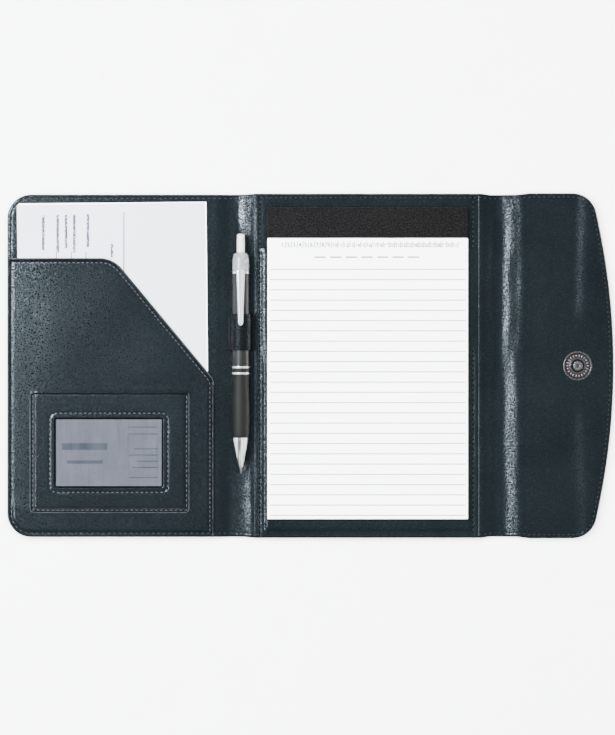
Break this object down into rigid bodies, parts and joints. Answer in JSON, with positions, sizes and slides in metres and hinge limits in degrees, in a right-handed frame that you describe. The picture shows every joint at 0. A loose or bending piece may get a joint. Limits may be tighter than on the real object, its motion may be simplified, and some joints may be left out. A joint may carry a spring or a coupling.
{
  "type": "snap closure padfolio",
  "caption": "Folding leatherette padfolio, lying open: pocketed front cover, spine with pen loop, ruled writing pad, gusset and snap flap.",
  "frame": {"origin": "under the middle of the open folio, level with its lowest point", "axes": "+X from the front cover to the flap, +Y to the top of the pad, +Z out of the inner faces"},
  "size_m": [0.3916, 0.223, 0.0192],
  "materials": {
    "leather": "dark blue-green black bonded leather, fine pebble grain, satin",
    "lining_leather": "the same leather, thinner and softer, satin",
    "board": "grey bookbinding board",
    "interlining": "soft felt interlining",
    "snap_metal": "pressed nickel-plated steel",
    "magnet": "dark coated ring magnet",
    "binding_leather": "brown-black grained leatherette",
    "paper": "white writing paper, ruled",
    "loose_paper": "plain office paper",
    "card_stock": "plain card, grey lavender",
    "clear_film": "clear vinyl",
    "pen_silver": "satin silver plating",
    "pen_dark_barrel": "dark translucent barrel",
    "pen_grip_rubber": "dark soft grip",
    "spring_steel": "wire",
    "refill_plastic": "white refill tube"
  },
  "bodies": {
    "centre_panel": {"centre_outer_skin": "leather", "centre_board": "board", "centre_lining": "lining_leather", "pad_pocket": "leather"},
    "spine": {"spine_outer_skin": "leather", "spine_interlining": "interlining", "spine_lining": "lining_leather", "pen_loop": "leather"},
    "front_cover": {"front_outer_skin": "leather", "front_board": "board", "front_lining": "lining_leather", "document_pocket": "leather", "document_pocket_piping": "leather", "card_pocket_frame": "leather", "card_pocket_piping": "leather", "card_window_film": "clear_film", "snap_socket_cap": "snap_metal", "snap_socket_magnet": "magnet", "snap_socket_base": "snap_metal", "snap_socket_washer": "snap_metal"},
    "gusset": {"gusset_outer_skin": "leather", "gusset_interlining": "interlining", "gusset_lining": "lining_leather"},
    "flap": {"flap_outer_skin": "leather", "flap_board": "board", "flap_lining": "lining_leather", "snap_stud_plate": "snap_metal", "snap_stud_post": "snap_metal", "snap_stud_washer": "snap_metal"},
    "pad": {"pad_back_board": "board", "pad_sheets": "paper", "pad_binding_strip": "binding_leather"},
    "pad_page": {"pad_top_sheet": "paper"},
    "sheet_front": {"loose_sheet_front": "loose_paper"},
    "sheet_back": {"loose_sheet_back": "loose_paper"},
    "card": {"card_insert": "card_stock"},
    "pen": {"pen_cone": "pen_silver", "pen_grip": "pen_grip_rubber", "pen_ring_lower": "pen_silver", "pen_sleeve": "pen_grip_rubber", "pen_ring_upper": "pen_silver", "pen_barrel": "pen_dark_barrel", "pen_clip": "pen_silver", "pen_collar": "pen_silver", "pen_spring": "spring_steel"},
    "pen_plunger": {"pen_button": "pen_silver", "pen_refill": "refill_plastic"}
  },
  "joints": [
    {"name": "spine_fold", "type": "hinge", "parent": "centre_panel", "child": "spine", "pos_m": [-0.0342, 0, 0.0058], "axis": [0, 1, 0], "range_deg": [0, 90]},
    {"name": "front_cover_fold", "type": "hinge", "parent": "spine", "child": "front_cover", "pos_m": [-0.0582, 0, 0.0058], "axis": [0, 1, 0], "range_deg": [0, 90]},
    {"name": "gusset_fold", "type": "hinge", "parent": "centre_panel", "child": "gusset", "pos_m": [0.1084, 0, 0.0058], "axis": [0, -1, 0], "range_deg": [0, 90]},
    {"name": "flap_fold", "type": "hinge", "parent": "gusset", "child": "flap", "pos_m": [0.1396, 0, 0.0058], "axis": [0, -1, 0], "range_deg": [0, 90]},
    {"name": "pad_slide", "type": "slide", "parent": "centre_panel", "child": "pad", "axis": [0, 1, 0], "range_m": [0, 0.18]},
    {"name": "page_turn", "type": "hinge", "parent": "pad", "child": "pad_page", "pos_m": [0.03685, 0.0822, 0.00965], "axis": [-1, 0, 0], "range_deg": [0, 170]},
    {"name": "front_sheet_slide", "type": "slide", "parent": "front_cover", "child": "sheet_front", "axis": [0, 1, 0], "range_m": [0, 0.18]},
    {"name": "back_sheet_slide", "type": "slide", "parent": "front_cover", "child": "sheet_back", "axis": [0, 1, 0], "range_m": [0, 0.18]},
    {"name": "card_slide", "type": "slide", "parent": "front_cover", "child": "card", "axis": [0, 1, 0], "range_m": [0, 0.08]},
    {"name": "pen_slide", "type": "slide", "parent": "spine", "child": "pen", "axis": [0, 1, 0], "range_m": [0, 0.11]},
    {"name": "pen_click", "type": "slide", "parent": "pen", "child": "pen_plunger", "axis": [0, 1, 0], "range_m": [0, 0.005]}
  ],
  "couplings": [
    {"joint": "front_cover_fold", "follows": "spine_fold", "ratio": 1},
    {"joint": "flap_fold", "follows": "gusset_fold", "ratio": 1}
  ]
}
